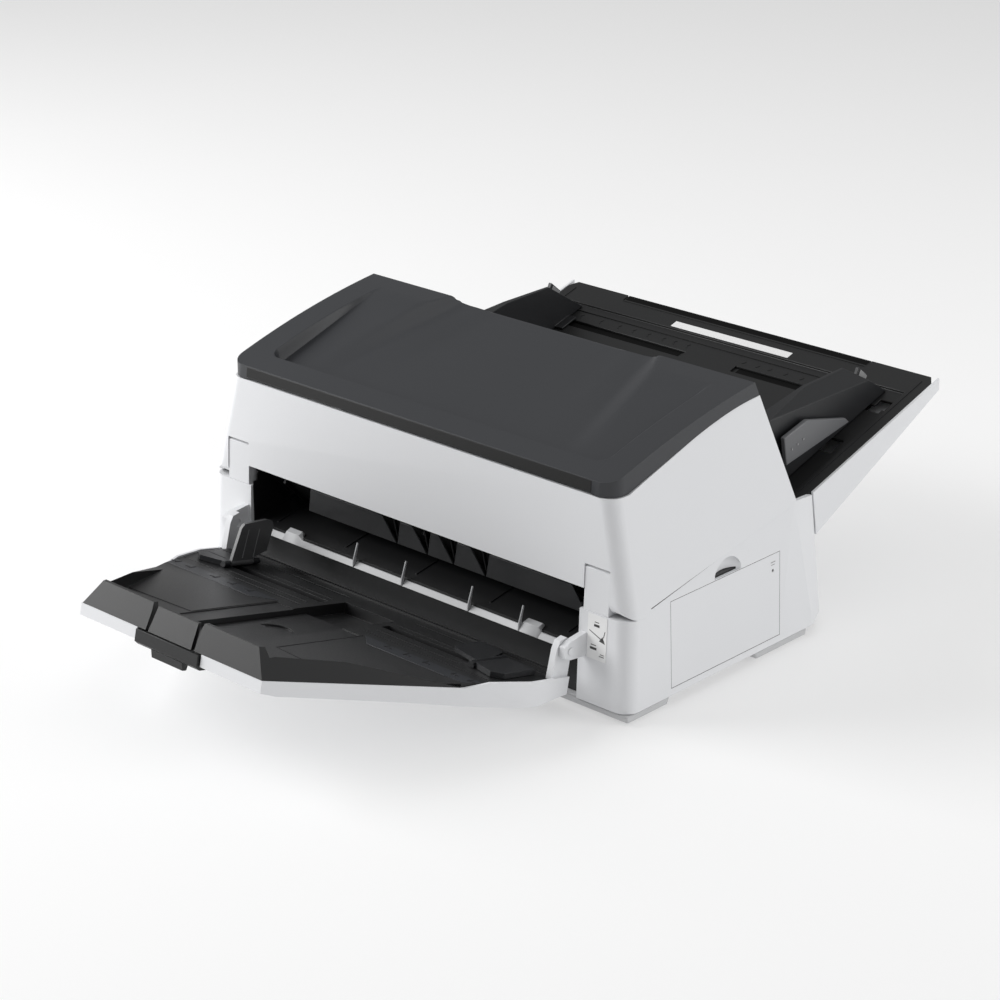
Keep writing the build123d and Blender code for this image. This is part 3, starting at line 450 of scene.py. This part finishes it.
# Main circuit board, a glass-fibre sheet screwed to the pan: green resist over copper tracks that show
# as a fine brick pattern.
board = Finish("green_resist", Coat_Weight=0.3)
tracks = board.node("ShaderNodeTexBrick", {}, {"Vector": board.place(), "Scale": 90.0, "Mortar Size": 0.03},
                    output=1)
board.feed(Base_Color=board.mix(tracks, (0.012, 0.085, 0.03, 1), (0.03, 0.17, 0.06, 1)))
board.feed(Roughness=0.35 + 0.1 * board.noise(300))
dress(board, "main_board")


# Rubber tyres of the rollers, pressed on their shafts and ground, so that fine lines run round them. The
# pulleys are white acetal, and the toothed belt is the same rubber as the feet.
tyre = Finish("roller_rubber")
ground = tyre.noise(1400, 2.0, (1.0, 0.08, 0.08))
tyre.feed(Base_Color=tyre.mix(ground, grey(0.12, 0.02), grey(0.17, 0.02)), Roughness=0.6 + 0.2 * ground)
tyre.relief(ground, 0.00005)
dress(tyre, "pick_rollers", "feed_rollers", "eject_rollers", "brake_rollers", "upper_feed_rollers",
      "upper_eject_rollers")
dress(moulded("pulley_acetal", 0.62, 0.0, 0.35), "feed_pulley", "eject_pulley", "motor_pulley")
dress(rubber, "drive_belt")


# White cover of the upper unit, one deep leaning shell in the same ABS as the lower covers, with the paper
# exit cut out of its front. It clips over the upper guide.
eased("upper_cover", 0.0006, white)


# Black upper paper guide, with five hanging flaps that press the sheets down at the exit. The flaps are
# black plastic too, coloured a lighter grey as a painted sheen. They are cut back to a point between
# each other, so dark V shapes stand between them.
eased("upper_guide", 0.0004, black)
flap_painted_sheen = moulded("flap_painted_sheen", 0.034, 0.04, 0.32, drift=0.1)
TIPS = (-124.0, -28.0, 3.5, 30.5, 62.5, 160.0)
FLAP_LOW, FLAP_HIGH = 62.4, 84.0


def flap(x0, x1):
    """A plate from z 62 to 84 that leans back as it goes down, 9.5 mm narrower at each end at its top."""
    corners = np.array([(x0 + 0.5, 20.5, FLAP_LOW), (x1 - 0.5, 20.5, FLAP_LOW),
                        (x1 - 9.5, 14.6, FLAP_HIGH), (x0 + 9.5, 14.6, FLAP_HIGH)])
    return rings(np.stack([corners, corners + (0, 1.3, 0.3)]))


make("exit_flaps", [flap(x0, x1) for x0, x1 in zip(TIPS[:-1], TIPS[1:])], flap_painted_sheen, "upper_unit",
     edge=0.0003)
hanger = [(15.5, 91), (17.4, 91), (24, 66), (21.5, 66)]
make("flap_hangers", [prism(hanger, 0, x - 0.6, x + 0.6) for x in TIPS[1:-1]], black, "upper_unit")


# Dark top: one arched moulding in charcoal ABS with a fine satin grain. A wide shallow paper rest is
# sunk into it, deepest at the front, and runs out over the rear edge; the rear edge dips in the middle.
satin = moulded("charcoal_plastic", 0.028, 0.10, 0.44, grain=1300, relief=0.00002, drift=0.10)
HALF, RIM_CORNER, TOP_FRONT = 192.6, 12.0, 7.7
ARC_RADIUS, ARC_TILT, ARC_END, REAR_FALL = 788.0, np.radians(18.5), 162, 1.96
ARC_Y = TOP_FRONT + ARC_RADIUS * np.sin(ARC_TILT)
ARC_Z = 171.0 - ARC_RADIUS * np.cos(ARC_TILT)
REST_FRONT, REST_HALF, REST_CORNER = 26.0, 169.0, 10.0
MIDDLE_SLOPE, SIDE_SLOPE = 0.2531, 0.3272
FOLD_X, FOLD_SPLAY, FOLD_WIDTH = 94, 0.20, 22


def smooth(value, start, end):
    """0 before start, 1 after end, 3t2 - 2t3 between."""
    t = np.clip((value - start) / (end - start), 0, 1)
    return t * t * (3 - 2 * t)


def crown(y):
    """The arch seen from the side: a 788 mm arc up to y 162, then a short steep slope down."""
    arc = ARC_Z + np.sqrt(ARC_RADIUS ** 2 - (np.minimum(y, ARC_END) - ARC_Y) ** 2)
    return arc - REAR_FALL * np.maximum(y - ARC_END, 0)


def rest_floor(x, y):
    """The paper rest's floor: a ramp in the middle and a steeper one at each side that runs out at the
    rear edge. A wide soft fold joins them, with a faint second fold inside it."""
    middle = 166 + MIDDLE_SLOPE * (y - 27)
    side = 166 + SIDE_SLOPE * (y - 27)
    splay = FOLD_X + FOLD_SPLAY * (157 - y)
    crease = smooth(x, splay - 34, splay - 16) * smooth(y, 50, 130)
    return middle + crease + (side - middle - crease) * smooth(x, splay, splay + FOLD_WIDTH)


def rest_share(x, y):
    """1 inside the rest and 0 outside, over a 3 mm wall round a rounded rectangle open at the rear."""
    dx = np.maximum(x - (REST_HALF - REST_CORNER), 0)
    dy = np.maximum(REST_FRONT + REST_CORNER - y, 0)
    inside = REST_CORNER - np.hypot(dx, dy)
    inside = np.minimum(inside, np.minimum(REST_HALF - x, y - REST_FRONT))
    return smooth(inside, -0.2, 3.0)


def top_height(x, y):
    x = np.abs(x)
    top = crown(y)
    return top - rest_share(x, y) * np.maximum(top - rest_floor(x, y), 0)


half_lines = np.concatenate([np.arange(0, 96, 8), np.arange(96, 124, 2.5), np.arange(125, 156, 5),
                             np.arange(156, 173, 0.85), [175, 180, 186, 190, HALF]])
across = np.concatenate([-half_lines[:0:-1], half_lines])
depth = np.concatenate([TOP_FRONT + RIM_CORNER * (1 - np.cos(np.linspace(0, np.pi / 2, 12))),
                        np.arange(20.5, 40, 0.85), np.arange(41, 142, 6), np.arange(144, 162, 1.5),
                        np.linspace(162, 167.4, 5)])
corner = np.maximum(TOP_FRONT + RIM_CORNER - depth, 0)
reach = HALF - RIM_CORNER + np.sqrt(np.maximum(RIM_CORNER ** 2 - corner ** 2, 0))
x = across[None, :] * (reach / HALF)[:, None]
y = np.repeat(depth[:, None], len(across), axis=1)
under = np.interp(y, (24.5, 55, 86.8, 98, 106, 114, 122, 130, 138, 146, 154, 161, 168),
                  (160.6, 170, 179.5, 182.8, 184.9, 186.9, 188.7, 190.35, 191.75, 192.9, 193.85, 194.5, 195))
under = under + 1.2 * ((y < 12) & (np.abs(x) < 175))
top_skin = np.stack([x, y, np.maximum(top_height(x, y), under + 0.3)], axis=-1)
bottom_skin = np.stack([x, y - 1.0 * (y < 8), under], axis=-1)
make("arched_top", [rings(np.concatenate([top_skin, bottom_skin[:, ::-1]], axis=1), ladder=True)], satin,
     "upper_unit", ["top_cover"], edge=0.0011, segments=3, angle=50)


# Front strip of the top, a separate clip-on trim in matt black ABS between two fine upright joints, with
# a shadow gap under it.
strip_plastic = moulded("front_strip_plastic", 0.008, 0.0, 0.50, drift=0.06, Specular_IOR_Level=0.30)
strip_side = [(6.4, 162.2), (9.0, 162.2), (9.0, 170.4), (7.4, 170.4)]
make("front_strip", [prism(strip_side, 0, -174.2, 174.2)], strip_plastic, "upper_unit",
     ["fascia"], edge=0.0003)


# Input chute: white outer wedge, black sloping tray with slots for the guides, a printed white strip
# and rows of small raised size marks. The tray clips into the wedge.
eased("chute_shell", 0.0008, white)
eased("chute_tray", 0.0004, black)
eased("chute_extension", 0.0004, black)
SLOPE, REAR_Y, REAR_Z = np.tan(np.radians(17)), 384.0, 142.0


def on_chute(outline, low, high):
    """A flat piece through (x, y) corners on the chute's slope, between two heights above its rear edge's."""
    outline = np.asarray(outline, float)
    level = REAR_Z + SLOPE * (outline[:, 1] - REAR_Y)
    return rings(np.stack([np.column_stack([outline, level + lift]) for lift in (low, high)]))


strip_white = moulded("strip_white", 0.80, 0.0, 0.35, relief=0.00001, drift=0.01)
make("size_strip", [on_chute([(-60.6, 376.6), (60.6, 376.6), (60.6, 383.8), (-60.6, 383.8)], -0.1, 0.35)],
     strip_white, "housing", edge=0.0002)
MARKS = (30, 44, 56, 72, 88, 104, 124, 146)
chevrons = [on_chute([(side * (at - 1.6), 358.5), (side * (at + 0.2), 361), (side * (at - 1.6), 363.5),
                      (side * (at - 0.6), 363.5), (side * (at + 1.4), 361), (side * (at - 0.6), 358.5)],
                     -2.1, -1.7)
            for at in MARKS for side in (-1, 1)]
ridges = [on_chute([(-160, 367.2), (160, 367.2), (160, 368.4), (-160, 368.4)], -2.1, -1.3),
          on_chute([(-125, 391.0), (125, 391.0), (125, 391.9), (-125, 391.9)], -0.1, 0.5)]
ledges = [on_chute([(side * 179.0, 206), (side * 180.0, 206), (side * 180.0, 392), (side * 179.0, 392)],
                   -0.1, 0.5) for side in (-1, 1)]
make("chute_relief", chevrons + ridges + ledges, black, "housing")


# Deep black strips of painted shade: one under each guide slot, where the tray's plate is cut through,
# and one in the seat that the extension's bar lies in.
painted_shade_black = moulded("painted_shade_plastic", 0.003, 0.0, 0.6, relief=0.00001, Specular_IOR_Level=0.08)
slot_shade_strips = [on_chute([(side * 30, 345.8), (side * 160, 345.8), (side * 160, 354.6), (side * 30, 354.6)],
                        -4.06, -3.86) for side in (-1, 1)]
make("slot_painted_shade", slot_shade_strips, painted_shade_black, "housing")
make("extension_seat_shade", [on_chute([(-125, 394.2), (125, 394.2), (125, 399.4), (-125, 399.4)], -0.6, -0.45)],
     painted_shade_black, "chute_extension")


# Side guides of the chute, hollow black wedges that slide in the slots, each with a grey clip near its
# tail. The right one carries the grey release lever, which has three small pips to grip.
guide_plastic = moulded("side_guide_plastic", 0.014, 0.08, 0.42, drift=0.12, Specular_IOR_Level=0.40)
clip_grey = moulded("clip_plastic", 0.26, 0.01, 0.4)
for guide, x0 in (("left_guide", -170.5), ("right_guide", 148.5)):
    eased(guide, 0.0012, guide_plastic)
    clip = [(345.4, 153.0), (355.0, 147.6), (357.4, 151.6), (348.6, 158.8)]
    make(guide + "_clip", [prism(clip, 0, x0 - 0.4, x0 + 3.9)], clip_grey, guide, edge=0.0004)
lever_plastic = moulded("lever_plastic", 0.135, 0.03, 0.40, drift=0.04)
eased("release_lever", 0.0008, lever_plastic)
PIPS = ((243.6, 125.8), (250.6, 128.1), (257.6, 130.3))
make("lever_pips", [disc(y, z, 0.9, 166.9, 167.5) for y, z in PIPS],
     clip_grey, "release_lever")


# Output tray: white underside and rim, black bed with raised pads, and a pull-out middle that carries
# the stopper flap and a finger tab. Everything on it is laid out level, then tipped by 13 degrees.
TIP = np.radians(13.0)


def tipped(points):
    """Level points about the tray's hinge, turned 13 degrees about it and put in the frame."""
    x, y, z = np.asarray(points, float).T
    turned = np.stack([x, y * np.cos(TIP) + z * np.sin(TIP), z * np.cos(TIP) - y * np.sin(TIP)], axis=1)
    return turned * 0.001 + np.array(TRAY_HINGE)


bed_plastic = moulded("tray_bed_plastic", 0.010, 0.04, 0.42, grain=900, relief=0.00003, drift=0.12,
                       Specular_IOR_Level=0.42)
eased("stacker_shell", 0.0007, white)
eased("stacker_tray", 0.0007, bed_plastic)
eased("stacker_extension", 0.0006, bed_plastic)
eased("stacker_stopper", 0.0005, bed_plastic)
BED = -21.5


def on_bed(outline, low=-0.1, high=0.25):
    return prism(outline, 2, BED + low, BED + high)


def both_sides(outline, *heights):
    return [on_bed([(side * x, y) for x, y in outline], *heights) for side in (-1, 1)]


scale_plastic = moulded("scale_plate_plastic", 0.020, 0.14, 0.40, drift=0.08)
make("tray_scales", both_sides([(45, -66), (158, -66), (152, -80), (60, -80)]), scale_plastic, "stacker",
     place=tipped, edge=0.0001)
ticks = []
for at in (70, 88.5, 107.3, 134.4, 150.4):
    ticks += both_sides([(at, -67), (at + 0.9, -67), (at + 0.9, -73.5), (at, -73.5)], 0.2, 0.5)
    ticks += both_sides([(at + 2, -71), (at + 6, -71), (at + 6, -72.6), (at + 2, -72.6)], 0.2, 0.5)
pad_edges = both_sides([(105, -156), (45, -151), (44.4, -151.4), (44.4, -68), (43.6, -68), (43.6, -152),
                        (105, -157)], -0.1, 0.3)
pad_edges += both_sides([(34, -21), (118, -21), (118, -21.6), (34, -21.6)], -0.1, 0.3)
pad_edges += both_sides([(36, -46), (120, -46), (120, -46.6), (36, -46.6)], -0.1, 0.3)
make("tray_relief", ticks + pad_edges, black, "stacker", place=tipped)


# A black edging strip that closes the tray's rear edge, and the round heads of its two hinge pins.
edging_side = [(5.0, BED + 0.05), (6.03, BED + 0.05), (6.03, BED + 1.2), (8.25, BED + 1.2),
               (8.25, BED + 1.65), (5.0, BED + 1.65)]
make("tray_rear_edging", [prism(edging_side, 0, -164.6, 164.6)], bed_plastic, "stacker",
     place=tipped)
PIVOT_Y, PIVOT_Z = -15.0, 51.0
heads = [disc(PIVOT_Y, PIVOT_Z, 2.8, *sorted((side * 176.4, side * 177.5))) for side in (-1, 1)]
make("tray_pin_heads", heads, white, "housing", edge=0.0004)


# Paper guides of the output tray: a sliding foot with two grooves and a fin hinged to it. The left fin
# stands, the right one is folded flat.
for side in ("left", "right"):
    eased(side + "_stacker_guide", 0.0006, guide_plastic)
# The standing left fin is the same black plastic as the folded right one. Its lighter grey is a painted sheen
# where its face catches the light.
fin_painted_sheen = moulded("standing_fin_painted_sheen", 0.075, 0.02, 0.36, drift=0.08)
eased("left_stacker_fin", 0.0007, fin_painted_sheen)
eased("right_stacker_fin", 0.0007, guide_plastic)
# The standing fin's ridges are black plastic coloured a lighter grey: painted highlights along them.
ridge_painted_highlight = moulded("fin_ridge_painted_highlight", 0.22, 0.02, 0.36)
ridges = [prism([(y, -15.0), (y + 0.7, -15.0), (y + 3.6, 7.0), (y + 2.9, 7.0)], 0, -126.6, -126.2)
          for y in (-29.0, -18.0)]
make("left_fin_ridges", ridges, ridge_painted_highlight, "left_stacker_fin", place=tipped)
# The foot's two grooves are drawn as flat deep black strips: painted shade.
grooves = [prism([(-155, y), (-136, y), (-136, y + 0.9), (-155, y + 0.9)], 2, -17.3, -17.1)
           for y in (-22.0, -37.0)]
make("left_foot_groove_shade", grooves, painted_shade_black, "left_stacker_guide", place=tipped)


# A pale seamless paper floor that glows a little, so that shadows stay soft, a key light at the left, a
# weaker one at the right, one overhead, and the camera that sees the right front corner.
floor_paint = moulded("studio_floor", 0.56, 0.0, 0.9, grain=3, relief=0.0, drift=0.004,
                      Emission_Color=(1, 1, 1, 1), Emission_Strength=0.38)
bpy.ops.mesh.primitive_plane_add(size=24)
floor = bpy.context.object
floor.name = "studio_floor"
floor.data.materials.append(floor_paint.material)

world = bpy.data.worlds.new("studio")
world.use_nodes = True
world.node_tree.nodes["Background"].inputs["Color"].default_value = (1, 1, 1, 1)
world.node_tree.nodes["Background"].inputs["Strength"].default_value = 0.34
bpy.context.scene.world = world


def softbox(name, place, aim, size, power):
    """A square area light at place, turned to face aim."""
    data = bpy.data.lights.new(name, "AREA")
    data.size, data.energy = size, power
    lamp = bpy.data.objects.new(name, data)
    bpy.context.scene.collection.objects.link(lamp)
    away = np.array(place, float) - aim
    away /= np.linalg.norm(away)
    side = np.cross((0.0, 0.0, 1.0), away)
    side /= np.linalg.norm(side)
    turn = np.eye(4)
    turn[:3, 0], turn[:3, 1], turn[:3, 2], turn[:3, 3] = side, np.cross(away, side), away, place
    lamp.matrix_world = Matrix(turn.tolist())


softbox("left_box", (-1.8, -1.08, 1.18), (0, 0, 0.1), 1.6, 56)
softbox("right_box", (2.1, 1.1, 0.9), (0, 0, 0.1), 1.4, 21)
softbox("overhead_box", (0.2, 0.5, 2.4), (0, 0, 0.1), 2.4, 13)

camera_data = bpy.data.cameras.new("camera")
camera_data.sensor_width, camera_data.lens = 36.0, 97.74
camera = bpy.data.objects.new("camera", camera_data)
bpy.context.scene.collection.objects.link(camera)
right, up, forward = (0.7319, 0.6814, 0.0), (-0.2536, 0.2724, 0.9281), (-0.6324, 0.6793, -0.3722)
stand = np.eye(4)
stand[:3, 0], stand[:3, 1], stand[:3, 2] = right, up, np.negative(forward)
stand[:3, 3] = (1.2996, -1.3792, 0.8455)
camera.matrix_world = Matrix(stand.tolist())
bpy.context.scene.camera = camera
bpy.context.scene.view_settings.view_transform = "Standard"
